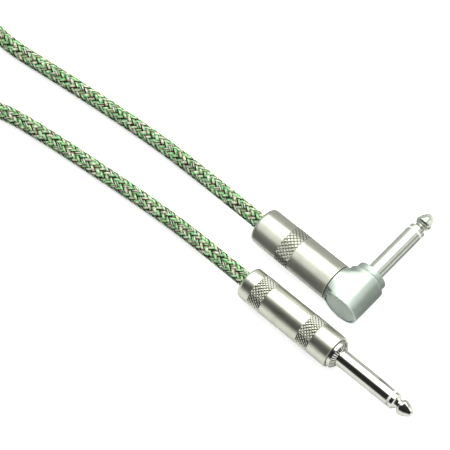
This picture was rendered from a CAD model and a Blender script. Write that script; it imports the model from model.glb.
import math

import bmesh
import bpy
import numpy as np
from bpy.props import FloatProperty, FloatVectorProperty, IntProperty, PointerProperty
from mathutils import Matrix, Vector


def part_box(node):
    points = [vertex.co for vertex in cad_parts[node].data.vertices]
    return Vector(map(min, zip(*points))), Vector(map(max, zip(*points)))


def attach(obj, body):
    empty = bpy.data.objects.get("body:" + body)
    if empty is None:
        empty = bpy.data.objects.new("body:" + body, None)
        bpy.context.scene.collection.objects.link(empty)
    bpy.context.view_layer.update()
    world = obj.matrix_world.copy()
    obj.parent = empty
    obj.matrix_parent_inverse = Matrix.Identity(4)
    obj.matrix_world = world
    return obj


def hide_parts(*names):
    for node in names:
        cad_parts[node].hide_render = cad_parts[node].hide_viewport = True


bl_info = {
    "name": "Instrument cable",
    "version": (1, 0, 0),
    "blender": (4, 5, 0),
    "location": "View3D > Sidebar > Cable",
    "description": "Dresses the packed instrument cable: turned plugs, knurled barrels, braided cord",
    "category": "Object",
}

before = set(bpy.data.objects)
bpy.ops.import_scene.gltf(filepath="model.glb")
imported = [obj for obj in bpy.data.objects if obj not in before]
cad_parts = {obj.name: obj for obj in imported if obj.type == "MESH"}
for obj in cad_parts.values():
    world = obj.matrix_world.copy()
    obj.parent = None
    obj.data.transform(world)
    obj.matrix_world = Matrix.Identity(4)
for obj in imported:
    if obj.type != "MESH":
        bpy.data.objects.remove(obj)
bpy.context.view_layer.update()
MM = 0.001


def middle_of(node):
    low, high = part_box(node)
    return (Vector(low) + Vector(high)) / 2


# Places that the solids give, in metres
STRAIGHT_AXIS = middle_of("straight_sleeve")
STRAIGHT_SHOULDER = Vector((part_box("straight_collar")[1][0], STRAIGHT_AXIS.y, STRAIGHT_AXIS.z))
STRAIGHT_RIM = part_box("straight_barrel")[1][0]
ANGLED_AXIS = middle_of("angled_sleeve")
ANGLED_SHOULDER = Vector((ANGLED_AXIS.x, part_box("angled_elbow")[1][1], ANGLED_AXIS.z))
ELBOW = Vector((ANGLED_AXIS.x, middle_of("angled_barrel").y, ANGLED_AXIS.z))
ANGLED_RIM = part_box("angled_barrel")[1][0]

# Route of the cord in metres, the part's own points: from the straight plug to the coil, the
# coil's turns, and from the coil to the right-angle plug
STRAIGHT_ROUTE = [
    (-0.031225, -0.02761, 0.00628), (-0.047025, -0.02761, 0.00628), (-0.062775, -0.02651, 0.003204),
    (-0.081775, -0.02751, 0.0029), (-0.102775, -0.02951, 0.0029), (-0.124775, -0.03181, 0.0029),
    (-0.142775, -0.03461, 0.0029), (-0.157775, -0.04161, 0.0030875), (-0.172275, -0.05261, 0.005994),
    (-0.186775, -0.06411, 0.011394), (-0.202275, -0.07381, 0.017394), (-0.218775, -0.07836, 0.02165),
    (-0.232975, -0.07836, 0.02165),
]
ANGLED_ROUTE = [
    (-0.232975, 0.01329, 0.0029), (-0.218775, 0.01329, 0.0029), (-0.204775, 0.00759, 0.0029),
    (-0.187275, -0.00621, 0.0029), (-0.173775, -0.01241, 0.0029), (-0.158775, -0.01401, 0.0029),
    (-0.138775, -0.01141, 0.0029), (-0.114775, -0.00871, 0.0029), (-0.092775, -0.00681, 0.0029),
    (-0.074775, -0.00651, 0.003285), (-0.057925, -0.00801, 0.00718), (-0.042125, -0.00801, 0.00718),
]
COIL_CENTRE = Vector((-0.238775, -0.02941, 0.0))
CORD_D = 0.0058
COIL_MOUTH = 0.006   # past the coil's middle, where the runs leave it


# Meshes

THREAD_ROWS = 10              # rows of points in one pitch
THREAD_FLANK = 3.4            # steepness of a thread's flanks: its height over a pitch
THREAD_FADE = 0.7             # share of a pitch in which a thread dies out at its ends
UV_ROUND, UV_OUT = 4.0, 0.7   # mm of UV for a radian round the axis, and for a mm outwards
EDGE_SHARE = 0.49             # share of an edge that the rounding of a corner may take
SAME_PLACE = 1e-7             # points closer than this, in metres, are one


def points_of(mesh):
    """The mesh's points as rows of x, y and z."""
    places = np.zeros(3 * len(mesh.vertices))
    mesh.vertices.foreach_get("co", places)
    return places.reshape(-1, 3)


def evaluated_mesh(piece):
    """A plain mesh of the piece as its modifiers or its curve give it."""
    depsgraph = bpy.context.evaluated_depsgraph_get()
    return bpy.data.meshes.new_from_object(piece.evaluated_get(depsgraph), preserve_all_data_layers=True,
                                           depsgraph=depsgraph)


def mesh_object(name, vertices, faces, smooth_angle=30.0):
    mesh = bpy.data.meshes.new(name)
    mesh.from_pydata([tuple(v) for v in vertices], [], faces)
    mesh.validate()
    made = bpy.data.objects.new(name, mesh)
    bpy.context.scene.collection.objects.link(made)
    soften(made, smooth_angle)
    return made


def soften(piece, angle=30.0):
    """Smooth shading that keeps the edges sharper than angle."""
    piece.data.shade_smooth()
    piece.data.set_sharp_from_angle(angle=math.radians(angle))


def face_outward(piece):
    shape = bmesh.new()
    shape.from_mesh(piece.data)
    bmesh.ops.remove_doubles(shape, verts=shape.verts, dist=SAME_PLACE)
    bmesh.ops.recalc_face_normals(shape, faces=shape.faces)
    shape.to_mesh(piece.data)
    shape.free()


def drop_uv(piece):
    while piece.data.uv_layers:
        piece.data.uv_layers.remove(piece.data.uv_layers[0])


def dress(piece, name):
    """Gives the piece one material and no other."""
    piece.data.materials.clear()
    piece.data.materials.append(bpy.data.materials[name])


def outline(corners, steps=6):
    """Rounds the corners of a turned outline. A corner is (along, radius) or (along, radius, round)."""
    points = []
    count = len(corners)
    for k, corner in enumerate(corners):
        here = np.array(corner[:2], float)
        size = corner[2] if len(corner) > 2 else 0.0
        if size <= 0:
            points.append(tuple(here))
            continue
        before = np.array(corners[k - 1][:2], float) - here
        after = np.array(corners[(k + 1) % count][:2], float) - here
        reach_b, reach_a = np.linalg.norm(before), np.linalg.norm(after)
        before, after = before / reach_b, after / reach_a
        half = math.acos(float(np.clip(before @ after, -1, 1))) / 2
        cut = min(size / math.tan(half), EDGE_SHARE * reach_b, EDGE_SHARE * reach_a)
        radius = cut * math.tan(half)
        inward = (before + after) / np.linalg.norm(before + after)
        centre = here + inward * radius / math.sin(half)
        a, b = here + before * cut - centre, here + after * cut - centre
        spread = math.acos(float(np.clip(a @ b / (radius * radius), -1, 1)))
        for step in range(steps + 1):
            t = step / steps
            mix = (math.sin((1 - t) * spread) * a + math.sin(t * spread) * b) / math.sin(spread)
            points.append(tuple(centre + mix))
    return points


def ring_of(along, radius, segments):
    """Points of one ring round X."""
    angles = [2 * math.pi * k / segments for k in range(segments)]
    return [(along, radius * math.cos(angle), radius * math.sin(angle)) for angle in angles]


def on_axis(name, vertices, faces, at, axis, smooth_angle):
    """Sets a shape that was turned about X, in mm, on its axis through at, and gives it its UV map."""
    places = np.array(vertices) * MM
    if axis == "Y":
        places = np.stack([-places[:, 1], places[:, 0], places[:, 2]], axis=1)
    made = mesh_object(name, places + np.array(at), faces, smooth_angle)
    face_outward(made)
    soften(made, smooth_angle)
    turned_uv(made, at, 1 if axis == "Y" else 0)
    return made


def turned(name, corners, at, axis="X", segments=96, smooth_angle=30.0):
    """Turns a closed outline, in mm, about the line through at."""
    vertices, rings, faces = [], [], []
    for along, radius in outline(corners):
        if radius < 1e-6:
            rings.append([len(vertices)] * segments)
            vertices.append((along, 0, 0))
            continue
        rings.append(list(range(len(vertices), len(vertices) + segments)))
        vertices += ring_of(along, radius, segments)
    for one, two in zip(rings, rings[1:] + rings[:1]):
        for k in range(segments):
            beside = (k + 1) % segments
            face = list(dict.fromkeys([one[k], one[beside], two[beside], two[k]]))
            if len(face) > 2:
                faces.append(face)
    return on_axis(name, vertices, faces, at, axis, smooth_angle)


def turned_uv(piece, at, along_axis):
    """Gives the piece one UV map, in mm: u round the axis, v along it and out over its faces."""
    drop_uv(piece)
    mesh = piece.data
    layer = mesh.uv_layers.new(name="turned")
    index = np.zeros(len(mesh.loops), int)
    mesh.loops.foreach_get("vertex_index", index)
    places = (points_of(mesh) - np.array(at))[index] / MM
    along = places[:, along_axis]
    other = np.delete(places, along_axis, axis=1)
    radius = np.linalg.norm(other, axis=1)
    angle = np.arctan2(other[:, 1], other[:, 0])
    starts = np.zeros(len(mesh.polygons), int)
    totals = np.zeros(len(mesh.polygons), int)
    mesh.polygons.foreach_get("loop_start", starts)
    mesh.polygons.foreach_get("loop_total", totals)
    for start, total in zip(starts, totals):
        span = slice(start, start + total)
        if angle[span].max() - angle[span].min() > math.pi:
            angle[span] = np.where(angle[span] < 0, angle[span] + 2 * math.pi, angle[span])
    uv = np.stack([angle * UV_ROUND, along + radius * UV_OUT], axis=1).astype(np.float32)
    layer.data.foreach_set("uv", uv.ravel())


def threaded(name, start, end, major, minor, bore, at, pitch=1.0, segments=48):
    """A hollow threaded stud from start to end along X, in mm, whose thread fades at its ends."""
    rows = round((end - start) / pitch * THREAD_ROWS)
    vertices, faces = [], []
    for row in range(rows + 1):
        along = start + (end - start) * row / rows
        fade = min(1.0, min(along - start, end - along) / (THREAD_FADE * pitch))
        for k in range(segments):
            phase = (along / pitch - k / segments) % 1.0
            ridge = min(1.0, THREAD_FLANK * (0.5 - abs(phase - 0.5)))
            radius = minor + (major - minor) * ridge * fade
            angle = 2 * math.pi * k / segments
            vertices.append((along, radius * math.cos(angle), radius * math.sin(angle)))
    vertices += ring_of(end, bore, segments) + ring_of(start, bore, segments)
    total = rows + 3
    for row in range(total):
        after = (row + 1) % total
        for k in range(segments):
            beside = (k + 1) % segments
            faces.append([row * segments + k, row * segments + beside,
                          after * segments + beside, after * segments + k])
    return on_axis(name, vertices, faces, at, "X", 50.0)


def join(pieces, name):
    """Makes one mesh of several, which keeps their materials."""
    with bpy.context.temp_override(
            active_object=pieces[0], object=pieces[0],
            selected_objects=pieces, selected_editable_objects=pieces):
        bpy.ops.object.join()
    pieces[0].name = name
    pieces[0].data.name = name
    return pieces[0]


def settle(piece, body, slot, *nodes):
    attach(piece, body)
    if nodes:
        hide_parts(*nodes)


# Geometry Nodes: tiles set in rows round a line

LINE_MARGIN = 1.0   # mm of line before the first row and after the last


def put(tree, kind, inputs=(), **settings):
    """Adds a node, sets its properties and fills its sockets with values or links."""
    made = tree.nodes.new(kind)
    for key, value in settings.items():
        setattr(made, key, value)
    for key, value in dict(inputs).items():
        socket = made.inputs[key]
        if isinstance(value, bpy.types.NodeSocket):
            tree.links.new(value, socket)
        else:
            socket.default_value = value
    return made


def maths(tree, operation, *values):
    return put(tree, "ShaderNodeMath", dict(enumerate(values)), operation=operation).outputs[0]


def vector_maths(tree, operation, *values):
    return put(tree, "ShaderNodeVectorMath", dict(enumerate(values)), operation=operation).outputs[0]


def scaled(tree, vector, factor):
    return put(tree, "ShaderNodeVectorMath", {0: vector, 3: factor}, operation="SCALE").outputs[0]


def rows_tree():
    """Makes the tree that wraps rows of a flat tile round a line: the tile's x goes round, its y
    along and its z outward, and every other row is turned by Shift of a column."""
    tree = bpy.data.node_groups.new("tile_rows_round_a_line", "GeometryNodeTree")
    sockets = [
        ("Line", "NodeSocketObject"), ("Around", "NodeSocketInt"), ("Rows", "NodeSocketInt"),
        ("Radius", "NodeSocketFloat"), ("Start", "NodeSocketFloat"), ("Pitch", "NodeSocketFloat"),
        ("Shift", "NodeSocketFloat"), ("Material", "NodeSocketMaterial"),
    ]
    tree.interface.new_socket("Geometry", in_out="INPUT", socket_type="NodeSocketGeometry")
    for name, kind in sockets:
        tree.interface.new_socket(name, in_out="INPUT", socket_type=kind)
    tree.interface.new_socket("Geometry", in_out="OUTPUT", socket_type="NodeSocketGeometry")
    given = tree.nodes.new("NodeGroupInput").outputs

    count = maths(tree, "MULTIPLY", given["Around"], given["Rows"])
    index = put(tree, "GeometryNodeInputIndex").outputs[0]
    column = maths(tree, "FLOORED_MODULO", index, given["Around"])
    safe_index = maths(tree, "ADD", index, 0.001)
    row = maths(tree, "FLOOR", maths(tree, "DIVIDE", safe_index, given["Around"]))
    odd = maths(tree, "FLOORED_MODULO", row, 2.0)
    girth = maths(tree, "MULTIPLY", given["Radius"], 2 * math.pi)
    step = maths(tree, "DIVIDE", girth, given["Around"])
    u = maths(tree, "MULTIPLY", maths(tree, "MULTIPLY_ADD", odd, given["Shift"], column), step)
    v = maths(tree, "MULTIPLY_ADD", row, given["Pitch"], given["Start"])
    place = put(tree, "ShaderNodeCombineXYZ", {"X": u, "Y": v}).outputs[0]
    points = put(tree, "GeometryNodePoints", {"Count": count, "Position": place}).outputs[0]
    spread = put(tree, "GeometryNodeInstanceOnPoints", {"Points": points, "Instance": given["Geometry"]})
    tiles = spread.outputs[0]
    for name, value in (("column", column), ("row", row)):
        stored = {"Geometry": tiles, "Name": name, "Value": value}
        tiles = put(tree, "GeometryNodeStoreNamedAttribute", stored, data_type="FLOAT",
                    domain="INSTANCE").outputs[0]
    flat = put(tree, "GeometryNodeRealizeInstances", {"Geometry": tiles}).outputs[0]

    info = put(tree, "GeometryNodeObjectInfo", {"Object": given["Line"]}, transform_space="ORIGINAL")
    line = put(tree, "GeometryNodeMeshToCurve", {"Mesh": info.outputs["Geometry"]}).outputs[0]
    flat_place = put(tree, "GeometryNodeInputPosition").outputs[0]
    here = put(tree, "ShaderNodeSeparateXYZ", {0: flat_place}).outputs
    sample = put(tree, "GeometryNodeSampleCurve", {"Curves": line, "Length": here[1]}, mode="LENGTH")
    along, normal = sample.outputs["Tangent"], sample.outputs["Normal"]
    beside = vector_maths(tree, "CROSS_PRODUCT", along, normal)
    angle = maths(tree, "DIVIDE", here[0], given["Radius"])
    outward = vector_maths(tree, "ADD", scaled(tree, normal, maths(tree, "COSINE", angle)),
                           scaled(tree, beside, maths(tree, "SINE", angle)))
    reach = scaled(tree, outward, maths(tree, "ADD", given["Radius"], here[2]))
    wrapped_at = vector_maths(tree, "ADD", sample.outputs["Position"], reach)
    wrapped = put(tree, "GeometryNodeSetPosition", {"Geometry": flat, "Position": wrapped_at}).outputs[0]
    welded = put(tree, "GeometryNodeMergeByDistance", {"Geometry": wrapped, "Distance": 2e-6}).outputs[0]
    finished = put(tree, "GeometryNodeSetMaterial", {"Geometry": welded, "Material": given["Material"]})
    result = tree.nodes.new("NodeGroupOutput")
    tree.links.new(finished.outputs[0], result.inputs[0])


def line_object(name, points):
    mesh = bpy.data.meshes.new(name)
    mesh.from_pydata([tuple(p) for p in points], [(k, k + 1) for k in range(len(points) - 1)], [])
    made = bpy.data.objects.new(name, mesh)
    bpy.context.scene.collection.objects.link(made)
    return made


def line_along(name, at, start, end):
    """A line along X from start to end, in mm from at, with a margin before and after."""
    return line_object(name, [at + Vector((along * MM, 0, 0))
                              for along in (start - LINE_MARGIN, end + LINE_MARGIN)])


def wrap(tile, line, around, rows, radius, start, pitch, shift, material_name, smooth_angle):
    """Puts the tile's rows round the line and makes the result a plain mesh."""
    tree = bpy.data.node_groups["tile_rows_round_a_line"]
    modifier = tile.modifiers.new("rows", "NODES")
    modifier.node_group = tree
    values = {"Line": line, "Around": around, "Rows": rows, "Radius": radius, "Start": start,
              "Pitch": pitch, "Shift": shift, "Material": bpy.data.materials[material_name]}
    for item in tree.interface.items_tree:
        if item.in_out == "INPUT" and item.name in values:
            modifier[item.identifier] = values[item.name]
    mesh = evaluated_mesh(tile)
    tile.modifiers.remove(modifier)
    tile.data = mesh
    dress(tile, material_name)
    soften(tile, smooth_angle)


# Materials, and the effects that several of them share

MIX_A, MIX_B, MIX_COLOUR_A, MIX_COLOUR_B = 2, 3, 6, 7   # the Mix node's sockets
GROOVE_SHADE, FLANK_ROUGHNESS = 0.12, 0.2   # tone at the bottom of a groove, roughness of its sides
GRAIN_FINER, GRAIN_SPREAD = 9, 0.06         # scale of the grain over the smudges', and its roughness
LATHE_DRIFT = 0.12                          # how slowly the lathe's lines change round the piece

# Finishes of the inner pieces: light tone, dark tone, roughness, scale of the smudges, depth of the
# grain and, for metal, 1
INNER_FINISHES = {
    "insulator_pale": ((0.74, 0.75, 0.70), (0.62, 0.63, 0.58), 0.45, 200.0, 0.2),
    "brass_tinned": ((0.70, 0.69, 0.64), (0.58, 0.54, 0.44), 0.32, 180.0, 0.3, 1.0),
    "insulation_core": ((0.62, 0.60, 0.55), (0.45, 0.43, 0.39), 0.5, 160.0, 0.3),
    "copper_drawn": ((0.80, 0.42, 0.26), (0.62, 0.30, 0.18), 0.35, 400.0, 0.6, 1.0),
    "solder_set": ((0.62, 0.63, 0.64), (0.46, 0.47, 0.48), 0.3, 260.0, 0.5, 1.0),
    "jacket_dark": ((0.035, 0.03, 0.026), (0.02, 0.018, 0.016), 0.8, 300.0, 0.5),
}
# Pieces of each plug that keep their solid's shape, with their finish
INNER_PIECES = {
    "core_tube": "insulator_pale", "rear_washer": "insulator_pale", "tip_lug": "brass_tinned",
    "ground_lug": "brass_tinned", "core": "insulation_core", "conductor": "copper_drawn",
    "screen_pigtail": "copper_drawn", "tip_solder": "solder_set", "ground_solder": "solder_set",
    "cord_end": "jacket_dark", "liner": "liner_clear",
}


def product(tree, value, *others):
    """All the values multiplied."""
    for other in others:
        value = maths(tree, "MULTIPLY", value, other)
    return value


def ramp(tree, value, low, high, start=0.0, end=1.0, kind="LINEAR"):
    """Goes from start, where value is at low or under it, to end, where it is at high or over it."""
    return put(tree, "ShaderNodeMapRange", {0: value, 1: low, 2: high, 3: start, 4: end},
               interpolation_type=kind).outputs[0]


def noise(tree, place, scale, detail, roughness=0.5):
    return put(tree, "ShaderNodeTexNoise", {"Vector": place, "Scale": scale, "Detail": detail,
                                            "Roughness": roughness}).outputs[0]


def on_object(tree):
    """Object coordinates, in metres."""
    return put(tree, "ShaderNodeTexCoord").outputs["Object"]


def tones(tree, mask, light, dark):
    """A colour that goes from light, where the mask is 0, to dark, where it is 1."""
    if not isinstance(light, bpy.types.NodeSocket):
        light = (*light, 1.0)
    return put(tree, "ShaderNodeMix", {"Factor": mask, MIX_COLOUR_A: light, MIX_COLOUR_B: (*dark, 1.0)},
               data_type="RGBA").outputs[2]


def group(name, inputs, outputs):
    """A shader group of plain values: gives its tree, its inputs and a function that links an output."""
    tree = bpy.data.node_groups.new(name, "ShaderNodeTree")
    for socket, value in inputs:
        made = tree.interface.new_socket(socket, in_out="INPUT", socket_type="NodeSocketFloat")
        made.default_value = value
    for socket in outputs:
        tree.interface.new_socket(socket, in_out="OUTPUT", socket_type="NodeSocketFloat")
    given = tree.nodes.new("NodeGroupInput").outputs
    result = tree.nodes.new("NodeGroupOutput")

    def give(socket, value):
        tree.links.new(value, result.inputs[socket])

    return tree, given, give


def turned_marks():
    """Fine lines left by the lathe, on the piece's own UV in mm, and a roughness that varies with them."""
    tree, given, give = group("turned_marks", [("Lines", 6.0), ("Roughness", 0.2), ("Spread", 0.1)],
                              ["Roughness", "Height"])
    own_place = put(tree, "ShaderNodeUVMap", uv_map="turned").outputs[0]
    place = put(tree, "ShaderNodeSeparateXYZ", {0: own_place}).outputs
    across = maths(tree, "MULTIPLY", place[1], given["Lines"])
    drift = maths(tree, "MULTIPLY", place[0], LATHE_DRIFT)
    at = put(tree, "ShaderNodeCombineXYZ", {"X": drift, "Y": across}).outputs[0]
    lines = noise(tree, at, scale=1.0, detail=3.0)
    smear = noise(tree, on_object(tree), scale=210.0, detail=4.0)
    both = maths(tree, "ADD", maths(tree, "MULTIPLY", lines, 0.5), maths(tree, "MULTIPLY", smear, 0.5))
    off = maths(tree, "MULTIPLY", maths(tree, "SUBTRACT", both, 0.5), given["Spread"])
    give("Roughness", maths(tree, "ADD", given["Roughness"], off))
    give("Height", lines)


def handling():
    """Soft smudges and a little grime, 0 to 1, on Object coordinates."""
    tree, given, give = group("handling", [("Scale", 120.0)], ["Mask"])
    cloud = noise(tree, on_object(tree), given["Scale"], detail=5.0, roughness=0.62)
    give("Mask", ramp(tree, cloud, low=0.42, high=0.72))


def material(name, metallic=0.0, roughness=0.5, **sockets):
    """Makes a material and gives its tree and its shader, whose plain numbers are set on the shader's
    own sockets."""
    made = bpy.data.materials.new(name)
    made.use_nodes = True
    tree = made.node_tree
    shader = tree.nodes["Principled BSDF"]
    shader.inputs["Metallic"].default_value = metallic
    shader.inputs["Roughness"].default_value = roughness
    for key, value in sockets.items():
        shader.inputs[key.replace("_", " ")].default_value = value
    return tree, shader


def use_group(tree, name, **values):
    node = tree.nodes.new("ShaderNodeGroup")
    node.node_tree = bpy.data.node_groups[name]
    for key, value in values.items():
        node.inputs[key].default_value = value
    return node.outputs


def two_tones(tree, shader, mask, light, dark):
    tree.links.new(tones(tree, mask, light, dark), shader.inputs["Base Color"])


def bumped(tree, shader, height, strength, distance):
    bump = put(tree, "ShaderNodeBump", {"Height": height, "Strength": strength, "Distance": distance})
    tree.links.new(bump.outputs[0], shader.inputs["Normal"])


def turned_metal(name, light, dark, roughness, spread, lines, depth):
    """Plated metal off the lathe: smudged in two tones, with its lines and dark knurl grooves."""
    tree, shader = material(name, metallic=1.0)
    marks = use_group(tree, "turned_marks", Lines=lines, Roughness=roughness, Spread=spread)
    smudges = use_group(tree, "handling", Scale=150.0)["Mask"]
    groove = put(tree, "ShaderNodeAttribute", attribute_name="groove").outputs["Fac"]
    plate = tones(tree, smudges, light, dark)
    pit = ramp(tree, groove, low=0.6, high=1.0)
    two_tones(tree, shader, pit, plate, np.array(dark) * GROOVE_SHADE)
    flank = maths(tree, "GREATER_THAN", groove, 0.02)
    rough = put(tree, "ShaderNodeMix",
                {"Factor": flank, MIX_A: marks["Roughness"], MIX_B: FLANK_ROUGHNESS}).outputs[0]
    tree.links.new(rough, shader.inputs["Roughness"])
    bumped(tree, shader, marks["Height"], depth, 0.00002)


def grained(name, light, dark, roughness, scale, depth, metallic=0.0):
    """A cast, stamped or moulded surface: two tones and a fine grain on Object coordinates."""
    tree, shader = material(name, metallic, roughness)
    two_tones(tree, shader, use_group(tree, "handling", Scale=scale)["Mask"], light, dark)
    grain = noise(tree, on_object(tree), scale * GRAIN_FINER, detail=3.0)
    rough = ramp(tree, grain, low=0.3, high=0.7, start=roughness - GRAIN_SPREAD,
                 end=roughness + GRAIN_SPREAD)
    tree.links.new(rough, shader.inputs["Roughness"])
    bumped(tree, shader, grain, depth, 0.00003)


def tweed():
    """Yarn of the braid: its colour comes with each strand, with fibres, and it darkens as it dives."""
    tree, shader = material("yarn_tweed", roughness=0.85, Sheen_Weight=0.08, Sheen_Roughness=0.5,
                            Specular_IOR_Level=0.25)
    strand = put(tree, "ShaderNodeAttribute", attribute_name="yarn").outputs
    yarn, lift = strand["Color"], strand["Alpha"]
    own_place = put(tree, "ShaderNodeUVMap", uv_map="strand").outputs[0]
    stretched = put(tree, "ShaderNodeMapping", {"Vector": own_place, "Scale": (15.0, 0.8, 1.0)}).outputs[0]
    fibres = noise(tree, stretched, scale=1.0, detail=4.0, roughness=0.7)
    cloud = noise(tree, on_object(tree), scale=900.0, detail=3.0)
    shade = maths(tree, "ADD", maths(tree, "MULTIPLY", fibres, 0.7), maths(tree, "MULTIPLY", cloud, 0.3))
    level = ramp(tree, shade, low=0.38, high=0.6, start=0.12, end=1.75)
    shadow = ramp(tree, lift, low=0.32, high=0.88, start=0.02, end=1.03)
    colour = scaled(tree, yarn, maths(tree, "MULTIPLY", level, shadow))
    tree.links.new(colour, shader.inputs["Base Color"])
    bumped(tree, shader, fibres, 0.6, 0.00008)


def clear_plastic():
    tree, shader = material("liner_clear", roughness=0.15, IOR=1.49, Transmission_Weight=0.85)
    mask = use_group(tree, "handling", Scale=90.0)["Mask"]
    two_tones(tree, shader, mask, (0.86, 0.88, 0.88), (0.78, 0.8, 0.78))
    rough = ramp(tree, mask, low=0.0, high=1.0, start=0.12, end=0.3)
    tree.links.new(rough, shader.inputs["Roughness"])


# Cord

COIL_PITCH, COIL_OUTER = 6.25, 42.7   # from turn to turn, and the outermost turns' radius, in mm
COIL_HALVES, COIL_LAYERS = 5, 4       # half turns in a layer, and layers
HALF_POINTS = 8                       # control points of a half turn

BRAID_COLUMNS = 6                     # chevrons round the cord
YARN_FILL = 0.98                      # share of its place that a yarn takes
YARN_EDGE = 0.00018                   # how far a yarn's edges lie under its ridge
FLOAT_OVERLAP = 0.00035               # how far a float reaches under its neighbours at each end
LIFT_DEPTH = 0.0004                   # how deep the braid's shadows reach
YARN_SHIFT, WAY_SHIFT = 7.0, 13.0     # keep the fibres of one yarn apart from the next one's, in mm
SINGLE_SPLIT = (-0.1, 0.1)            # across a single yarn, in mm, where its colours change

# Yarns by colour, and the three yarns of each carrier: first of the carriers that lean one way, then
# of those that lean the other
YARNS = {
    "pale": (0.76, 1.0, 0.56), "green": (0.32, 0.87, 0.35), "cream": (1.0, 1.0, 0.84),
    "brown": (0.15, 0.05, 0.03), "mauve": (0.42, 0.27, 0.19), "dark": (0.014, 0.026, 0.012),
}
CARRIERS = (
    (("pale", "green", "dark"), ("green", "cream", "pale"), ("cream", "pale", "brown"),
     ("green", "pale", "dark"), ("green", "mauve", "cream"), ("green", "pale", "dark"),
     ("cream", "green", "brown"), ("pale", "cream", "mauve"), ("green", "pale", "dark"),
     ("cream", "brown", "green"), ("green", "cream", "dark"), ("green", "pale", "mauve")),
    (("brown", "green", "pale"), ("green", "pale", "dark"), ("dark", "green", "cream"),
     ("pale", "cream", "brown"), ("dark", "pale", "cream"), ("brown", "green", "mauve"),
     ("cream", "pale", "green"), ("brown", "cream", "pale"), ("dark", "green", "cream"),
     ("green", "brown", "cream"), ("dark", "pale", "green"), ("cream", "mauve", "green")),
)
# Yarns of a float, then the places along it and their heights in mm: in the runs, and in the coil
FINE_FLOAT = (3, (-1, -0.6, 0, 0.6, 1), (-0.38, -0.07, 0.0, -0.07, -0.38))
COIL_FLOAT = (1, (-1, 0, 1), (-0.36, 0.0, -0.36))


def nurbs(name, points):
    """One open NURBS spline through the route's chosen points."""
    curve = bpy.data.curves.new(name, "CURVE")
    curve.dimensions = "3D"
    spline = curve.splines.new("NURBS")
    spline.points.add(len(points) - 1)
    for knot, place in zip(spline.points, points):
        knot.co = (*place, 1.0)
    spline.order_u = 3
    spline.use_endpoint_u = True
    spline.resolution_u = 10
    made = bpy.data.objects.new(name, curve)
    bpy.context.scene.collection.objects.link(made)
    return made


def coil_turns():
    """Control points of the put-away turns, from the angled run's end to the straight run's end."""
    inward = [COIL_OUTER - k * COIL_PITCH / 2 for k in range(COIL_HALVES)]
    radii, climbs = [], []
    for layer in range(COIL_LAYERS):
        goes_inward = layer % 2 == 0
        radii += inward if goes_inward else inward[::-1]
        climbs += [False] * COIL_HALVES
        if layer < COIL_LAYERS - 1:
            radii.append(COIL_OUTER + (-COIL_HALVES if goes_inward else 1) * COIL_PITCH / 2)
            climbs.append(True)
    swell = 1 / math.cos(math.pi / (2 * HALF_POINTS))
    points = []
    y, z, side = COIL_OUTER, CORD_D / MM / 2, 1
    for radius, climbing in zip(radii, climbs):
        for k in range(HALF_POINTS):
            share = (k + 0.5) / HALF_POINTS
            rise = COIL_PITCH * share if climbing else 0.0
            reach = side * radius * swell
            points.append((-reach * math.sin(math.pi * share),
                           y - side * radius + reach * math.cos(math.pi * share), z + rise))
        y -= 2 * side * radius
        z += COIL_PITCH if climbing else 0.0
        side = -side
    return [COIL_CENTRE + Vector(p) * MM for p in points]


def spline_points(curve_object):
    """Points read from the cord's own spline, in metres."""
    mesh = evaluated_mesh(curve_object)
    places = points_of(mesh)
    bpy.data.meshes.remove(mesh)
    keep = np.concatenate([[True], np.linalg.norm(np.diff(places, axis=0), axis=1) > 1e-6])
    return places[keep]


def tube_round(name, path, radius, sides=10):
    tangents = np.gradient(path, axis=0)
    tangents /= np.linalg.norm(tangents, axis=1)[:, None]
    up = np.array([0.0, 0.0, 1.0])
    vertices, faces = [], []
    for place, tangent in zip(path, tangents):
        beside = np.cross(tangent, up)
        beside /= np.linalg.norm(beside)
        above = np.cross(beside, tangent)
        for k in range(sides):
            angle = 2 * math.pi * k / sides
            vertices.append(place + radius * (math.cos(angle) * beside + math.sin(angle) * above))
    for row in range(len(path) - 1):
        for k in range(sides):
            beside = (k + 1) % sides
            faces.append([row * sides + k, row * sides + beside, (row + 1) * sides + beside,
                          (row + 1) * sides + k])
    faces.append(list(range(sides)))
    faces.append([(len(path) - 1) * sides + k for k in range(sides)][::-1])
    made = mesh_object(name, vertices, faces, 60.0)
    face_outward(made)
    soften(made, 60.0)
    return made


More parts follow.
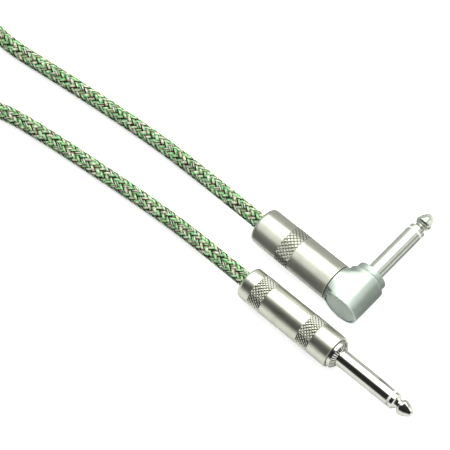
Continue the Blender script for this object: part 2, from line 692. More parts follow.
def braid_tile(name, width, pitch, ends, stations, heights):
    """Two floats, one each way, that together make a chevron, with ends yarns in each. A yarn is a
    closed strip. All in metres."""
    lean = math.atan2(width, pitch)
    visible = width / math.sin(lean)
    yarn = pitch * math.sin(lean) / ends * YARN_FILL
    section = ((-0.5, -YARN_EDGE), (0.0, 0.0), (0.5, -YARN_EDGE))
    count = len(stations)
    vertices, faces, uvs = [], [], []
    labels = {"family": [], "end": []}
    for family, side in enumerate((1, -1)):
        forth = np.array([side * math.sin(lean), math.cos(lean)])
        across = np.array([math.cos(lean), -side * math.sin(lean)])
        centre = np.array([width, pitch / 2]) * family
        for end in range(ends):
            offset = (end - (ends - 1) / 2) * yarn
            first = len(vertices)
            for s, h in zip(stations, heights):
                reach = s * (visible / 2 + FLOAT_OVERLAP)
                for t, drop in section:
                    aside = offset + t * yarn
                    flat = centre + forth * reach + across * aside
                    vertices.append((flat[0], flat[1], h + drop))
                    uvs.append((aside / MM + end * YARN_SHIFT, reach / MM + family * WAY_SHIFT))
            strip = []
            for a in range(first, first + 3 * (count - 1), 3):
                strip += [[a, a + 1, a + 4, a + 3], [a + 1, a + 2, a + 5, a + 4], [a + 2, a, a + 3, a + 5]]
            last = first + 3 * (count - 1)
            strip += [[first, first + 2, first + 1], [last, last + 1, last + 2]]
            faces += strip
            labels["family"] += [family] * len(strip)
            labels["end"] += [end] * len(strip)
    tile = mesh_object(name, vertices, faces, 75.0)
    face_outward(tile)
    soften(tile, 75.0)
    mesh = tile.data
    for label, values in labels.items():
        layer = mesh.attributes.new(label, "INT", "FACE")
        layer.data.foreach_set("value", np.array(values, dtype=np.int32))
    layer = mesh.uv_layers.new(name="strand")
    for loop in mesh.loops:
        layer.data[loop.index].uv = uvs[loop.vertex_index]
    mark_depth(tile, "lift", LIFT_DEPTH)
    return tile


def mark_depth(tile, label, deep):
    """Stores how high each point of a flat tile stands, as label: a lift is 1 at the tile's top and 0
    at deep under it, and a groove the other way round."""
    heights = points_of(tile.data)[:, 2]
    groove = np.clip((heights.max() - heights) / deep, 0, 1)
    values = 1 - groove if label == "lift" else groove
    tile.data.attributes.new(label, "FLOAT", "POINT").data.foreach_set("value", values.astype(np.float32))


def colour_yarns(piece, ends):
    """Each carrier of the braid keeps its own yarns along the whole cord."""
    mesh = piece.data
    count = len(mesh.polygons)

    def read(label, kind, size):
        values = np.zeros(size, kind)
        mesh.attributes[label].data.foreach_get("value", values)
        return values

    family = read("family", np.int32, count)
    end = read("end", np.int32, count)
    first = np.array([polygon.vertices[0] for polygon in mesh.polygons])
    column, row = [np.rint(read(label, np.float32, len(mesh.vertices))[first]).astype(int)
                   for label in ("column", "row")]
    carrier = np.where(family == 0, row - 2 * column, row + 2 * column) % len(CARRIERS[0])
    table = np.array([[[YARNS[name] for name in yarns] for yarns in way] for way in CARRIERS])
    totals = np.array([polygon.loop_total for polygon in mesh.polygons])
    family, carrier, end = [np.repeat(values, totals) for values in (family, carrier, end)]
    if ends == 1:
        strand = np.zeros(2 * len(mesh.loops), np.float32)
        mesh.uv_layers["strand"].data.foreach_get("uv", strand)
        end = np.digitize(strand[::2], SINGLE_SPLIT)
    colours = np.ones((len(mesh.loops), 4), np.float32)
    colours[:, :3] = table[family, carrier, end]
    corners = np.zeros(len(mesh.loops), np.int32)
    mesh.loops.foreach_get("vertex_index", corners)
    colours[:, 3] = read("lift", np.float32, len(mesh.vertices))[corners]
    for label in ("family", "end", "column", "row", "lift"):
        mesh.attributes.remove(mesh.attributes[label])
    mesh.attributes.new("yarn", "FLOAT_COLOR", "CORNER").data.foreach_set("color", colours.ravel())


# Plugs, in mm from the shoulder of each shaft

SHAFT_R, SPIGOT_R, SLEEVE_BORE_R = 3.175, 2.85, 2.1
RIVET_R, RIVET_HEIGHT = 3.4, 0.45     # the sleeve's end, spread behind the ground lug
ROD_R, ROD_HEAD_R, ROD_HEAD = 1.2, 1.8, 0.6
WASHER, TIP_LUG = 1.0, 0.55           # thicknesses between the rivet and the rod's head
SLEEVE_END, RING_END, TIP_END = 21.2, 22.1, 30.9
STRAIGHT_SPIGOT, ANGLED_SPIGOT = 11.55, 6.55   # how far each sleeve reaches behind its shoulder
STRAIGHT_FOOT = -1.6                  # where the straight sleeve comes out of its shortened collar

COLLAR_R, COLLAR_BACK, COLLAR_BORE_R = 4.3, -11.0, 2.86
COLLAR_THREAD = (5.05, 4.55, 4.2)     # radii of its crests, its roots and its bore
FLANGE_R, FLANGE_FACE_R, FLANGE_BACK, FLANGE_FRONT = 5.42, 4.6, -3.72, -2.5
NECK_R, NECK_BACK, NECK_FRONT = 3.8, -1.75, -1.4
TEETH, TEETH_R, TOOTH_LENGTH = 36, 5.38, 1.1
TOOTH_FALL, TOOTH_GAP, TOOTH_BED = 1.3, 0.5, 1.1   # how far it falls, its gaps' depth, metal below


def plug_pieces(side, at, axis, spigot, foot, finish):
    """The turned pieces of a phone plug. Its spigot reaches behind the shoulder, and its sleeve shows
    from foot on."""
    lip = spigot + RIVET_HEIGHT
    rod_back = lip + WASHER + TIP_LUG
    sleeve = turned(side + "_sleeve_turned", [
        (-lip, SLEEVE_BORE_R), (-lip, SPIGOT_R, 0.1), (-spigot, RIVET_R, 0.1), (-spigot, SPIGOT_R),
        (foot, SPIGOT_R), (foot, SHAFT_R), (SLEEVE_END, SHAFT_R, 0.06), (SLEEVE_END, SLEEVE_BORE_R)],
        at, axis)
    ring = turned(side + "_tip_ring_turned", [
        (SLEEVE_END, ROD_R), (SLEEVE_END, 3.16, 0.05), (RING_END, 3.16, 0.05), (RING_END, ROD_R)],
        at, axis)
    tip = turned(side + "_tip_turned", [
        (-rod_back - ROD_HEAD, 0), (-rod_back - ROD_HEAD, ROD_HEAD_R, 0.3), (-rod_back, ROD_HEAD_R, 0.1),
        (-rod_back, ROD_R), (RING_END, ROD_R), (RING_END, 3.125, 0.06), (23.4, 3.125, 0.22),
        (23.95, 2.45, 0.5), (24.75, 1.9, 0.9), (25.1, 1.9, 0.6), (25.7, 2.65, 1.3), (26.6, 3.1, 1.3),
        (28.8, 2.4, 4.0), (30.5, 1.2, 1.2), (TIP_END - 0.04, 0.45, 0.4), (TIP_END, 0)],
        at, axis, smooth_angle=42.0)
    dress(sleeve, finish)
    dress(ring, "insulator_pale")
    dress(tip, finish)
    settle(sleeve, "cable", "polished_nickel", side + "_sleeve")
    settle(ring, "cable", "pale_insulator", side + "_tip_ring")
    settle(tip, "cable", "polished_nickel", side + "_tip")


def straight_collar(at):
    """The straight plug's flange with its threaded body and its ring of teeth."""
    flange = turned("straight_collar_turned", [
        (COLLAR_BACK, COLLAR_BORE_R), (COLLAR_BACK, COLLAR_R, 0.2), (FLANGE_BACK, COLLAR_R),
        (FLANGE_BACK, FLANGE_R, 0.08), (FLANGE_FRONT, FLANGE_R, 0.05), (FLANGE_FRONT, FLANGE_FACE_R),
        (NECK_BACK, NECK_R), (NECK_FRONT, NECK_R, 0.05), (NECK_FRONT, COLLAR_BORE_R)], at)
    dress(flange, "nickel_polished")
    thread = threaded("straight_thread", COLLAR_BACK + 0.05, FLANGE_BACK - 0.03, *COLLAR_THREAD, at)
    dress(thread, "nickel_polished")
    line = line_along("ring_line", at, FLANGE_FRONT, FLANGE_FRONT + TOOTH_LENGTH)
    teeth = tooth_tile("straight_ring_teeth", 2 * math.pi * TEETH_R / TEETH * MM)
    wrap(teeth, line, TEETH, 1, TEETH_R * MM, LINE_MARGIN * MM, TOOTH_LENGTH * MM, 0.0, "nickel_polished",
         20.0)
    bpy.data.objects.remove(line)
    turned_uv(teeth, at, 0)
    collar = join([flange, thread, teeth], "straight_collar_turned")
    settle(collar, "cable", "satin_nickel", "straight_collar")


def tooth_tile(name, width):
    """One tooth of the collar's serrated bevel, lying flat: it falls off over its length."""
    half, deep = width / 2, TOOTH_GAP * MM
    length, fall, base = TOOTH_LENGTH * MM, TOOTH_FALL * MM, -(TOOTH_FALL + TOOTH_BED) * MM
    across = [(-1, deep), (-0.62, deep), (-0.46, 0.0), (0.46, 0.0), (0.62, deep), (1, deep)]
    vertices = [(share * half, along, -drop - z) for along, drop in ((0.0, 0.0), (length, fall))
                for share, z in across]
    faces = [[k, k + 1, k + 7, k + 6] for k in range(5)]
    vertices += [(-half, 0.0, base), (half, 0.0, base), (-half, length, base), (half, length, base)]
    faces += [[0, 12, 13, 5, 4, 3, 2, 1], [6, 7, 8, 9, 10, 11, 15, 14], [12, 14, 15, 13]]
    tile = mesh_object(name, vertices, faces)
    groove = np.array([z > 0 for _, z in across] * 2 + [False] * 4, np.float32)
    tile.data.attributes.new("groove", "FLOAT", "POINT").data.foreach_set("value", groove)
    return tile


# Knurling and barrels, in mm

GROOVE_WIDTH, GROOVE_DEPTH = 0.32, 0.27
BAND_WALL = 0.12                    # metal under the grooves, down to the band's inside
BAND_SEAT, BAND_RISE = 0.34, 0.07   # how deep the shell is cut for a band, and how far this stands out
CORD_HOLE_R, REAR_WALL = 3.3, 1.8


def knurl_tile(name, around, along):
    """Half a row of flat-topped diamonds between narrow V grooves, lying flat. All in mm."""
    p, q, deep = around / 2, along / 2, -GROOVE_DEPTH
    gx = GROOVE_WIDTH / math.sin(math.atan2(q, p))
    gy = GROOVE_WIDTH / math.cos(math.atan2(q, p))
    corners = [
        (-p, 0, deep), (p, 0, deep), (0, q, deep),
        (-p + gx, 0, 0), (0, 0, 0), (p - gx, 0, 0), (0, q - gy, 0),
        (-p, gy, 0), (-gx, q, 0), (-p, q, 0),
        (p, gy, 0), (gx, q, 0), (p, q, 0),
    ]
    faces = [
        [3, 4, 5, 6], [0, 3, 6, 2], [5, 1, 2, 6],
        [7, 8, 9], [0, 2, 8, 7], [10, 12, 11], [1, 10, 11, 2],
    ]
    return mesh_object(name, [Vector(corner) * MM for corner in corners], faces)


def close_band(piece, at, radius):
    """Turns the open band of knurling into a closed ring down to radius."""
    shape = bmesh.new()
    shape.from_mesh(piece.data)
    rim = [edge for edge in shape.edges if edge.is_boundary]
    skirt = bmesh.ops.extrude_edge_only(shape, edges=rim)["geom"]
    inner = [item for item in skirt if isinstance(item, bmesh.types.BMVert)]
    for vertex in inner:
        off = Vector((0, vertex.co.y - at.y, vertex.co.z - at.z))
        off *= radius / off.length
        vertex.co = Vector((vertex.co.x, at.y + off.y, at.z + off.z))
    loops = [edge for edge in shape.edges if edge.is_boundary]
    bmesh.ops.bridge_loops(shape, edges=loops)
    bmesh.ops.recalc_face_normals(shape, faces=shape.faces)
    shape.to_mesh(piece.data)
    shape.free()
    soften(piece, 20.0)


def knurled_band(name, at, start, width, radius, diamonds, half_rows):
    """A band of knurling round the barrel's axis, start and width in mm from its rim."""
    pitch = width / half_rows
    tile = knurl_tile(name, 2 * math.pi * radius / diamonds, 2 * pitch)
    mark_depth(tile, "groove", GROOVE_DEPTH * MM)
    line = line_along(name + "_line", at, start, start + width)
    wrap(tile, line, diamonds, half_rows, radius * MM, LINE_MARGIN * MM, pitch * MM, 0.5, "nickel_satin",
         20.0)
    bpy.data.objects.remove(line)
    close_band(tile, at, (radius - GROOVE_DEPTH - BAND_WALL) * MM)
    turned_uv(tile, at, 0)
    return tile


def barrel_pieces(side, rim, length, rear_r, front_r, rear_round, bands, band_width, bore, diamonds,
                  half_rows):
    """Barrel in mm from its rim: a slightly tapered shell with its knurled bands, which start at
    bands from its rear, as one piece."""

    def radius_at(along):
        return front_r + (rear_r - front_r) * (-along / length)

    corners = [(-length, CORD_HOLE_R, 0.15), (-length, rear_r, rear_round)]
    pieces = []
    for number, start in enumerate(bands):
        begin, end = start - length, start - length + band_width
        seat = radius_at(begin) - BAND_SEAT
        corners += [(begin, radius_at(begin), 0.06), (begin + 0.02, seat), (end - 0.02, seat),
                    (end, radius_at(end), 0.06)]
        top = radius_at((begin + end) / 2) + BAND_RISE
        pieces.append(knurled_band("%s_knurl_%d" % (side, number), rim, begin, band_width, top, diamonds,
                                   half_rows))
    corners += [(0, front_r, 0.3), (0, bore / 2, 0.2), (REAR_WALL - length, bore / 2),
                (REAR_WALL - length, CORD_HOLE_R)]
    shell = turned(side + "_barrel_turned", corners, rim, segments=128)
    dress(shell, "nickel_satin")
    whole = join([shell] + pieces, side + "_barrel_turned")
    settle(whole, side + "_barrel_body", "satin_nickel", side + "_barrel")


# Elbow, in mm from the crossing of its axes, with the barrel at -X and the shaft at +Y

HEAD_R, HEAD_START, HEAD_END = 7.15, -6.6, 7.9
STUB_R, STUB_START = 7.12, -7.15
WAIST_R, WAIST_START, WAIST_END = 5.6, 4.9, 9.9
BOSS_R, BOSS_START, BOSS_END = 5.95, 8.5, 10.9
SHOULDER_NEAR, SHOULDER_FAR = -5.0, 3.8   # its flat sides where it leaves the stub
NEAR_SLOPE, FAR_SLOPE = 0.25, 0.46        # how the sides open towards the head
FAN_SHIFT, FAN_SPREAD = 1.6, 0.6          # how the shoulder's roof fans out on its way to the head
SLANTED = 0.93                            # brings a slanted side's distance close to the true one
CAP_R, CAP_FRONT, CAP_BACK, CAP_FACE_R, SEAT_R = 6.12, -6.54, -5.2, 5.6, 6.28
CAVITY_R, CAVITY_END, SPIGOT_HOLE_R = 5.7, 4.9, 2.9
NIPPLE_START, NIPPLE_THREAD = -14.1, (5.6, 5.1, 4.8)   # radii of its crests, roots and bore
SKIN_VOXEL, SKIN_ROUNDS = 0.22, 10        # how fine the casting's mesh is, and steps to its surface
SLOPE_REACH, LEAST_SLOPE = 0.01, 0.2      # where a step measures the field, and the flattest it takes
ALONG_X, ALONG_Y = np.array([1.0, 0, 0]), np.array([0, 1.0, 0])


def rounded_cylinder(places, axis, radius, start, end, edge):
    """Distance to a cylinder with rounded rims."""
    along = places @ axis
    out = np.linalg.norm(places - along[:, None] * axis, axis=1)
    return rounded_pair(out - radius, np.abs(along - (start + end) / 2) - (end - start) / 2, edge)


def rounded_pair(a, b, edge):
    """Distance to what two distances share, with the edge between them rounded."""
    q = np.stack([a, b], axis=1) + edge
    return np.minimum(q.max(axis=1), 0) + np.linalg.norm(np.maximum(q, 0), axis=1) - edge


def blend_of(a, b, size):
    """Smooth union of two distances."""
    h = np.maximum(size - np.abs(a - b), 0)
    return np.minimum(a, b) - h * h / size / 4


def elbow_field(places):
    """Distance to the casting: a round stub, the flat-topped shoulder that widens from it to the whole
    of the upright head, the head and its boss."""
    head = rounded_cylinder(places, ALONG_Y, HEAD_R, HEAD_START, HEAD_END, edge=0.45)
    boss = np.minimum(rounded_cylinder(places, ALONG_Y, WAIST_R, WAIST_START, WAIST_END, edge=0.1),
                      rounded_cylinder(places, ALONG_Y, BOSS_R, BOSS_START, BOSS_END, edge=0.35))
    stub = rounded_cylinder(places, ALONG_X, STUB_R, STUB_START, 0.15, edge=0.2)
    x, y, z = places.T
    past = x - STUB_START
    part = np.clip(past / -STUB_START, 0, 1)
    stub_y = (y - FAN_SHIFT * part) / (1 + FAN_SPREAD * part)
    roof = (1 - part) * np.sqrt(np.maximum(STUB_R ** 2 - stub_y ** 2, 0)) + part * HEAD_R
    near_side = SHOULDER_NEAR - y - NEAR_SLOPE * past
    far_side = y - SHOULDER_FAR - FAR_SLOPE * past
    top = (np.abs(z) - roof) * SLANTED
    ends = np.abs(x - STUB_START / 2) + STUB_START / 2
    shoulder = np.maximum(rounded_pair(top, np.maximum(near_side, far_side) * SLANTED, edge=0.25), ends)
    neck = blend_of(stub, shoulder, size=0.25)
    return blend_of(blend_of(neck, head, size=0.3), boss, size=0.15)


def project(piece, field, at):
    """Moves a mesh's points on to the surface where field, in mm, is 0."""
    places = (points_of(piece.data) - np.array(at)) / MM
    for _ in range(SKIN_ROUNDS):
        slope = np.stack([(field(places + step) - field(places - step)) / (2 * SLOPE_REACH)
                          for step in np.eye(3) * SLOPE_REACH], axis=1)
        places -= slope * (field(places) / np.maximum((slope ** 2).sum(axis=1), LEAST_SLOPE))[:, None]
    piece.data.vertices.foreach_set("co", (places * MM + np.array(at)).ravel())
    piece.data.update()


def closed_cylinder(name, at, axis, radius, start, end):
    return turned(name, [(start, 0), (start, radius), (end, radius), (end, 0)], at, axis)


def apply_modifiers(piece):
    mesh = evaluated_mesh(piece)
    piece.modifiers.clear()
    piece.data = mesh


def elbow_body(at):
    """The casting: its rough form is remeshed, moved on to elbow_field and bored."""
    head = closed_cylinder("elbow_cast", at, "Y", HEAD_R, HEAD_START, HEAD_END)
    boss = closed_cylinder("elbow_boss", at, "Y", BOSS_R, 5.0, BOSS_END)
    stub = closed_cylinder("elbow_stub", at, "X", STUB_R, STUB_START, -0.5)
    corners = [(x, y, z) for x, low, high, tall in ((STUB_START, -4.9, 3.7, 5.6), (0.0, -6.6, 7.0, 7.0))
               for y in (low, high) for z in (-tall, tall)]
    neck = mesh_object("elbow_neck", [Vector(corner) * MM + at for corner in corners],
                       [[0, 1, 3, 2], [4, 6, 7, 5], [0, 4, 5, 1], [2, 3, 7, 6], [0, 2, 6, 4], [1, 5, 7, 3]])
    face_outward(neck)
    body = join([head, boss, stub, neck], "elbow_cast")
    remesh = body.modifiers.new("skin", "REMESH")
    remesh.mode = "VOXEL"
    remesh.voxel_size = SKIN_VOXEL * MM
    apply_modifiers(body)
    project(body, elbow_field, at)
    cutters = [
        closed_cylinder("cut_seat", at, "Y", SEAT_R, -8.0, CAP_BACK + 0.1),
        closed_cylinder("cut_cavity", at, "Y", CAVITY_R, CAP_BACK - 0.1, CAVITY_END),
        closed_cylinder("cut_bore", at, "X", NIPPLE_THREAD[2], -9.0, -2.0),
        closed_cylinder("cut_spigot", at, "Y", SPIGOT_HOLE_R, 4.0, 12.0),
    ]
    for cutter in cutters:
        cut = body.modifiers.new(cutter.name, "BOOLEAN")
        cut.operation = "DIFFERENCE"
        cut.solver = "EXACT"
        cut.object = cutter
    apply_modifiers(body)
    for cutter in cutters:
        bpy.data.objects.remove(cutter)
    soften(body, 35.0)
    return body


# Settings a user would change

def add_length(name, description, default):
    return FloatProperty(name=name, description=description, default=default, unit="LENGTH", precision=5)


class CordSettings(bpy.types.PropertyGroup):
    lay: add_length("Lay", "Length of cord in which a carrier of the braid goes once round", 0.0252)
    crest: add_length("Crest", "Height of the yarns over the cord's nominal radius", 0.00003)
    core_radius: add_length("Core radius", "Radius of the dark jacket under the braid", 0.00258)


class BarrelSettings(bpy.types.PropertyGroup):
    straight_diamonds: IntProperty(name="Diamonds, straight", default=28, min=12, max=60,
                                   description="Knurl diamonds round the straight plug's barrel")
    angled_diamonds: IntProperty(name="Diamonds, right-angle", default=27, min=12, max=60,
                                 description="Knurl diamonds round the right-angle plug's barrel")


class FinishSettings(bpy.types.PropertyGroup):
    nickel: FloatVectorProperty(name="Nickel", description="Colour of the plated metal", subtype="COLOR",
                                size=3, min=0.0, max=1.0, default=(0.60, 0.605, 0.545))
    satin_roughness: FloatProperty(name="Satin roughness", description="Roughness of barrels and elbow",
                                   default=0.36, min=0.0, max=1.0, subtype="FACTOR")
    polish_roughness: FloatProperty(name="Polish roughness", description="Roughness of the plug shafts",
                                    default=0.13, min=0.0, max=1.0, subtype="FACTOR")


class StageSettings(bpy.types.PropertyGroup):
    box_power: FloatProperty(name="Softbox power", description="Power of the overhead softbox",
                             default=7.0, min=0.0, unit="POWER")
    paper_glow: FloatProperty(name="Paper glow", description="Added whiteness of the paper in the picture",
                              default=0.8, min=0.0, max=1.0)
    frame_width: add_length("Frame width", "Width of the picture at the plugs", 0.1568)


SETTINGS = (("cable_cord", CordSettings), ("cable_barrels", BarrelSettings),
            ("cable_finish", FinishSettings), ("cable_stage", StageSettings))


# Stage

FLOOR_SIZE = 8.0
SOFTBOX_SIZE, SOFTBOX_AT = (1.6, 1.6), (0.0, 0.55, 1.2)
CAMERA_BACK = Vector((0.305, -0.336, 0.891)).normalized()
CAMERA_AIM, CAMERA_DISTANCE = Vector((-0.054775, -0.01441, 0.0)), 1.5
MIRRORED_GLOW = 0.3   # share of the paper's glow that reflections see

# Studio that reflections see: levels of the room, of its shades and of the softbox overhead
ROOM_LEVEL, NEAR_SHADE, RIGHT_SHADE = 0.68, 0.645, 0.3
BOX_GLOW, MIDDLE_GLOW, STRIP_GLOW = 1.6, 2.6, 0.7
# Its patches: each is the product of smooth steps over x, y, up or near, or over a and b, which are
# x and y on a ceiling. A step goes from its third number at its first to its fourth at its second.
STUDIO = {
    "veer": (("x", 0.2, 0.65, 0.0, 0.3), ("x", 0.76, 0.88, 1.0, 0.0)),
    "near_side": (("near", -0.4, -0.08, 1.0, 0.0), ("up", 0.02, 0.24, 0.0, 1.0)),
    "right_side": (("x", 0.55, 0.95, 0.0, 1.0),),
    "right_card": (("x", 0.82, 0.92, 0.0, 1.2), ("up", 0.14, 0.34, 1.0, 0.0), ("y", 0.12, 0.3, 1.0, 0.0)),
    "corner_card": (("x", 0.4, 0.6, 0.0, 1.2), ("up", 0.3, 0.5, 1.0, 0.0), ("y", 0.4, 0.52, 0.0, 1.0)),
    "box": (("a", -2.6, -0.3, 0.0, 1.0), ("a", 0.2, 0.62, 1.0, 0.0)),
    "box_middle": (("a", -0.4, -0.1, 0.0, 1.0), ("a", 0.15, 0.4, 1.0, 0.0)),
    "box_strip": (("a", 0.7, 1.1, 0.0, 1.0), ("a", 1.4, 2.3, 1.0, 0.0)),
    "box_length": (("b", -0.2, 0.12, 0.0, 1.0), ("b", 1.3, 2.1, 1.0, 0.0)),
}


def paper_floor(paper_glow):
    """White paper, which glows for the camera and, less, for reflections."""
    half = FLOOR_SIZE / 2
    floor = mesh_object("floor", [(-half, -half, 0), (half, -half, 0), (half, half, 0), (-half, half, 0)],
                        [[0, 1, 2, 3]])
    tree, shader = material("white_paper", roughness=0.9, Specular_IOR_Level=0.1)
    mottle = noise(tree, on_object(tree), scale=30.0, detail=3.0)
    two_tones(tree, shader, mottle, (0.72, 0.72, 0.72), (0.70, 0.70, 0.70))
    glow = put(tree, "ShaderNodeEmission", {"Color": (1, 1, 1, 1), "Strength": paper_glow})
    none = put(tree, "ShaderNodeEmission", {"Strength": 0.0})
    added = put(tree, "ShaderNodeMixShader", {0: glow_share(tree), 1: none.outputs[0], 2: glow.outputs[0]})
    both = put(tree, "ShaderNodeAddShader", {0: shader.outputs[0], 1: added.outputs[0]})
    tree.links.new(both.outputs[0], tree.nodes["Material Output"].inputs[0])
    dress(floor, "white_paper")


def glow_share(tree):
    """Share of the paper's glow: all of it for the camera, less where metal and clear plastic show it."""
    path = put(tree, "ShaderNodeLightPath").outputs
    mirrored = maths(tree, "MAXIMUM", path["Is Glossy Ray"], path["Is Transmission Ray"])
    return maths(tree, "MAXIMUM", path["Is Camera Ray"], maths(tree, "MULTIPLY", mirrored, MIRRORED_GLOW))


def level_sheet(left, right, near, far, height):
    return [(left, near, height), (right, near, height), (right, far, height), (left, far, height)]


def upright_sheet(start, end, low, high):
    """Corners of an upright sheet over the floor's line from start to end."""
    return [(*start, low), (*end, low), (*end, high), (*start, high)]


def reflected_cards():
    """Cards close to the plugs: over both, right of the elbow, behind the right-angle plug, between
    the plugs and over the straight tip."""
    x, y, z = ELBOW
    left, right, low, high = x - 0.11, x + 0.09, z - 0.007, z + 0.014

    near, over = STRAIGHT_AXIS.y - 0.003, z + 0.023
    studio_card("card_over", level_sheet(left, right, near, y + 0.002, over)
                + upright_sheet((left, near), (right, near), z + 0.0145, over), 1.1, see_through=True)

    inner, outer, corner = x + 0.0075, x + 0.025, y + 0.017
    studio_card("card_right", [(inner, y - 0.004, low), (outer, y - 0.002, low),
                               (outer, y + 0.045, low), (inner, y + 0.045, low)]
                + upright_sheet((outer, y - 0.002), (outer, corner), low, high)
                + upright_sheet((outer, corner), (outer, y + 0.05), z + 0.004, high), 0.38)

    back = y + 0.0085
    studio_card("card_back", level_sheet(left, x - 0.0045, back, y + 0.08, low)
                + upright_sheet((left, back), (x - 0.008, back), low, high), 0.5)

    between = y - 0.0125
    studio_card("card_between", upright_sheet((x - 0.0075, between), (left, between), low, z + 0.0085),
                0.17, one_sided=True)

    nose, side, above = STRAIGHT_SHOULDER.x + TIP_END * MM, STRAIGHT_AXIS.y, STRAIGHT_AXIS.z + 0.01
    studio_card("card_nose", level_sheet(nose - 0.0055, nose + 0.018, side - 0.014, side + 0.0055, above),
                0.03)


def studio_card(name, corners, level, see_through=False, one_sided=False):
    """A card that only reflections show, four corners a sheet. One that is seen through adds its light
    to what is behind it, and a one-sided card is clear from its back."""
    card = mesh_object(name, corners, [list(range(k, k + 4)) for k in range(0, len(corners), 4)])
    tree, shader = material(name)
    tree.nodes.remove(shader)
    clear = put(tree, "ShaderNodeBsdfTransparent").outputs[0]
    shine = put(tree, "ShaderNodeEmission", {"Color": (1, 1, 1, 1), "Strength": level}).outputs[0]
    if see_through:
        shine = put(tree, "ShaderNodeAddShader", {0: shine, 1: clear}).outputs[0]
    if one_sided:
        behind = put(tree, "ShaderNodeNewGeometry").outputs["Backfacing"]
        shine = put(tree, "ShaderNodeMixShader", {0: behind, 1: shine, 2: clear}).outputs[0]
    tree.links.new(shine, tree.nodes["Material Output"].inputs[0])
    dress(card, name)
    card.visible_camera = card.visible_diffuse = card.visible_transmission = card.visible_shadow = False


def studio(tree):
    """White to the camera. Reflections see a pale room, dark on the near side, under a long softbox."""
    tree.nodes.clear()
    way = put(tree, "ShaderNodeSeparateXYZ",
              {0: put(tree, "ShaderNodeTexCoord").outputs["Generated"]}).outputs
    up = maths(tree, "MAXIMUM", way[2], 0.02)
    ways = {"x": way[0], "y": way[1], "up": way[2], "a": maths(tree, "DIVIDE", way[0], up),
            "b": maths(tree, "DIVIDE", way[1], up)}

    def patch(name):
        steps = [ramp(tree, ways[key], *step, kind="SMOOTHSTEP") for key, *step in STUDIO[name]]
        return product(tree, *steps)

    ways["near"] = maths(tree, "SUBTRACT", way[1], patch("veer"))
    near = patch("near_side")
    room = maths(tree, "MULTIPLY_ADD", near, -NEAR_SHADE, ROOM_LEVEL)
    shade = maths(tree, "MULTIPLY_ADD", near, -RIGHT_SHADE, RIGHT_SHADE)
    right_shade = maths(tree, "MULTIPLY", patch("right_side"), shade)
    cards = maths(tree, "ADD", patch("right_card"), patch("corner_card"))
    box = maths(tree, "MULTIPLY", patch("box"), BOX_GLOW)
    box = maths(tree, "MULTIPLY_ADD", patch("box_middle"), MIDDLE_GLOW, box)
    box = maths(tree, "MULTIPLY_ADD", patch("box_strip"), STRIP_GLOW, box)
    level = maths(tree, "ADD", maths(tree, "SUBTRACT", room, right_shade), cards)
    level = maths(tree, "MULTIPLY_ADD", box, patch("box_length"), level)
    lit = put(tree, "ShaderNodeBackground", {"Color": level, "Strength": 1.0})
    white = put(tree, "ShaderNodeBackground", {"Color": (1, 1, 1, 1), "Strength": 1.0})
    seen = put(tree, "ShaderNodeLightPath").outputs["Is Camera Ray"]
    both = put(tree, "ShaderNodeMixShader", {0: seen, 1: lit.outputs[0], 2: white.outputs[0]})
    out = tree.nodes.new("ShaderNodeOutputWorld")
    tree.links.new(both.outputs[0], out.inputs[0])


# Operators

class CABLE_OT_finishes(bpy.types.Operator):
    """Make the materials and give the inner pieces that keep their solid's shape theirs"""
    bl_idname = "cable.finishes"
    bl_label = "Finishes"

    def execute(self, context):
        finish = context.scene.cable_finish
        nickel = np.array(finish.nickel)
        turned_marks()
        handling()
        rows_tree()
        polished, satin = finish.polish_roughness, finish.satin_roughness
        turned_metal("nickel_polished", nickel, nickel * 0.86, polished, spread=0.06, lines=5.0,
                     depth=0.08)
        turned_metal("nickel_buffed", nickel * (0.95, 1.0, 0.96), nickel * (0.82, 0.87, 0.83),
                     polished + 0.13, spread=0.06, lines=5.0, depth=0.08)
        turned_metal("nickel_satin", nickel * (0.98, 0.995, 0.935), nickel * (0.84, 0.86, 0.79),
                     satin, spread=0.10, lines=7.0, depth=0.22)
        grained("nickel_cast", nickel * (0.77, 0.88, 0.86), nickel * (0.69, 0.79, 0.78),
                satin + 0.04, scale=70.0, depth=0.05, metallic=1.0)
        for name, look in INNER_FINISHES.items():
            grained(name, *look)
        clear_plastic()
        tweed()
        for side in ("straight", "angled"):
            for piece, finish_name in INNER_PIECES.items():
                dress(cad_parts["%s_%s" % (side, piece)], finish_name)
        return {"FINISHED"}


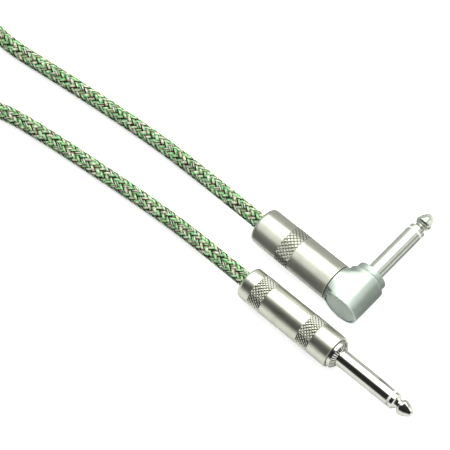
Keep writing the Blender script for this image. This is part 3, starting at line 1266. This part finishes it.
class CABLE_OT_cord(bpy.types.Operator):
    """Lay the cord on its route and braid it"""
    bl_idname = "cable.cord"
    bl_label = "Cord"

    def execute(self, context):
        settings = context.scene.cable_cord
        route = nurbs("cord_route", STRAIGHT_ROUTE[:-1] + coil_turns()[::-1] + ANGLED_ROUTE[1:])
        path = spline_points(route)
        jacket = tube_round("cord_jacket", path, settings.core_radius)
        dress(jacket, "jacket_dark")
        reach = np.concatenate([[0.0], np.cumsum(np.linalg.norm(np.diff(path, axis=0), axis=1))])
        in_coil = np.flatnonzero(path[:, 0] < COIL_CENTRE.x + COIL_MOUTH)
        coil_from, coil_to = reach[in_coil[0]], reach[in_coil[-1]]
        line = line_object("cord_line", path)
        radius = CORD_D / 2
        pitch = settings.lay / (2 * BRAID_COLUMNS)
        width = 2 * math.pi * radius / (2 * BRAID_COLUMNS)
        first_row = 0
        braids = []
        for name, until, (ends, stations, heights) in (
                ("braid_straight", coil_from, FINE_FLOAT),
                ("braid_coil_upper", (coil_from + coil_to) / 2, COIL_FLOAT),
                ("braid_coil_lower", coil_to, COIL_FLOAT),
                ("braid_angled", reach[-1], FINE_FLOAT)):
            last_row = round(until / pitch)
            heights = [h * MM + settings.crest for h in heights]
            tile = braid_tile(name, width, pitch, ends, stations, heights)
            wrap(tile, line, BRAID_COLUMNS, last_row - first_row, radius, first_row * pitch, pitch, 0.0,
                 "yarn_tweed", 75.0)
            colour_yarns(tile, ends)
            braids.append(tile)
            first_row = last_row
        bpy.data.objects.remove(line)
        bpy.data.objects.remove(route)
        for braid in braids:
            settle(braid, "cable", "tweed_braid")
        settle(jacket, "cable", "tweed_braid", "cord_run_straight", "cord_coil", "cord_run_angled")
        return {"FINISHED"}


class CABLE_OT_plugs(bpy.types.Operator):
    """Turn the tips, rings, sleeves and the straight plug's collar"""
    bl_idname = "cable.plugs"
    bl_label = "Plugs"

    def execute(self, context):
        plug_pieces("straight", STRAIGHT_SHOULDER, "X", STRAIGHT_SPIGOT, STRAIGHT_FOOT, "nickel_polished")
        plug_pieces("angled", ANGLED_SHOULDER, "Y", ANGLED_SPIGOT, 0, "nickel_buffed")
        straight_collar(STRAIGHT_SHOULDER)
        return {"FINISHED"}


class CABLE_OT_barrels(bpy.types.Operator):
    """Turn and knurl both barrels"""
    bl_idname = "cable.barrels"
    bl_label = "Barrels"

    def execute(self, context):
        settings = context.scene.cable_barrels
        straight_rim = Vector((STRAIGHT_RIM, STRAIGHT_AXIS.y, STRAIGHT_AXIS.z))
        barrel_pieces("straight", straight_rim, length=40.4, rear_r=6.07, front_r=6.19, rear_round=1.3,
                      bands=(5.0, 27.0), band_width=5.4, bore=10.3,
                      diamonds=settings.straight_diamonds, half_rows=8)
        angled_rim = Vector((ANGLED_RIM, ELBOW.y, ELBOW.z))
        barrel_pieces("angled", angled_rim, length=33.95, rear_r=6.82, front_r=7.1, rear_round=1.9,
                      bands=(11.7,), band_width=5.8, bore=11.4,
                      diamonds=settings.angled_diamonds, half_rows=7)
        return {"FINISHED"}


class CABLE_OT_elbow(bpy.types.Operator):
    """Make the cast elbow with its nipple and the cap"""
    bl_idname = "cable.elbow"
    bl_label = "Elbow"

    def execute(self, context):
        body = elbow_body(ELBOW)
        nipple = threaded("elbow_nipple", NIPPLE_START, STUB_START + 0.05, *NIPPLE_THREAD, ELBOW)
        cap = turned("elbow_cap_turned", [
            (CAP_BACK, 0), (CAP_BACK, CAP_R, 0.1), (CAP_FRONT + 0.02, CAP_R, 0.08),
            (CAP_FRONT + 0.02, CAP_FACE_R), (CAP_FRONT, 0)], ELBOW, "Y")
        for piece in (body, nipple):
            drop_uv(piece)
        for piece in (body, nipple, cap):
            dress(piece, "nickel_cast")
        whole = join([body, nipple], "elbow_cast")
        settle(whole, "cable", "satin_nickel", "angled_elbow")
        settle(cap, "cable", "satin_nickel", "angled_cap")
        return {"FINISHED"}


class CABLE_OT_stage(bpy.types.Operator):
    """Set the floor, the studio's light and the camera"""
    bl_idname = "cable.stage"
    bl_label = "Stage"

    def execute(self, context):
        settings = context.scene.cable_stage
        scene = context.scene
        paper_floor(settings.paper_glow)
        reflected_cards()
        world = bpy.data.worlds.new("studio")
        world.use_nodes = True
        studio(world.node_tree)
        scene.world = world

        lamp = bpy.data.lights.new("softbox", "AREA")
        lamp.shape = "RECTANGLE"
        lamp.size, lamp.size_y = SOFTBOX_SIZE
        lamp.energy = settings.box_power
        softbox = bpy.data.objects.new("softbox", lamp)
        softbox.location = SOFTBOX_AT
        softbox.visible_glossy = False
        scene.collection.objects.link(softbox)

        camera = bpy.data.objects.new("camera", bpy.data.cameras.new("camera"))
        camera.data.lens = camera.data.sensor_width * CAMERA_DISTANCE / settings.frame_width
        camera.location = CAMERA_AIM + CAMERA_BACK * CAMERA_DISTANCE
        camera.rotation_euler = CAMERA_BACK.to_track_quat("Z", "Y").to_euler()
        camera.data.clip_start = 0.05
        scene.collection.objects.link(camera)
        scene.camera = camera
        scene.view_settings.view_transform = "Standard"
        return {"FINISHED"}


class CABLE_PT_panel(bpy.types.Panel):
    bl_label = "Instrument cable"
    bl_idname = "CABLE_PT_panel"
    bl_space_type = "VIEW_3D"
    bl_region_type = "UI"
    bl_category = "Cable"

    def draw(self, context):
        for name, kind in SETTINGS:
            box = self.layout.box()
            for key in kind.__annotations__:
                box.prop(getattr(context.scene, name), key)
        for operator in OPERATORS:
            self.layout.operator(operator.bl_idname)


OPERATORS = (CABLE_OT_finishes, CABLE_OT_cord, CABLE_OT_plugs, CABLE_OT_barrels, CABLE_OT_elbow,
             CABLE_OT_stage)


def register():
    for name, kind in SETTINGS:
        bpy.utils.register_class(kind)
        setattr(bpy.types.Scene, name, PointerProperty(type=kind))
    for kind in OPERATORS:
        bpy.utils.register_class(kind)
    bpy.utils.register_class(CABLE_PT_panel)


def unregister():
    bpy.utils.unregister_class(CABLE_PT_panel)
    for kind in reversed(OPERATORS):
        bpy.utils.unregister_class(kind)
    for name, kind in reversed(SETTINGS):
        delattr(bpy.types.Scene, name)
        bpy.utils.unregister_class(kind)


def main():
    register()
    bpy.ops.cable.finishes()
    bpy.ops.cable.stage()
    bpy.ops.cable.cord()
    bpy.ops.cable.plugs()
    bpy.ops.cable.barrels()
    bpy.ops.cable.elbow()


if __name__ == "__main__":
    main()
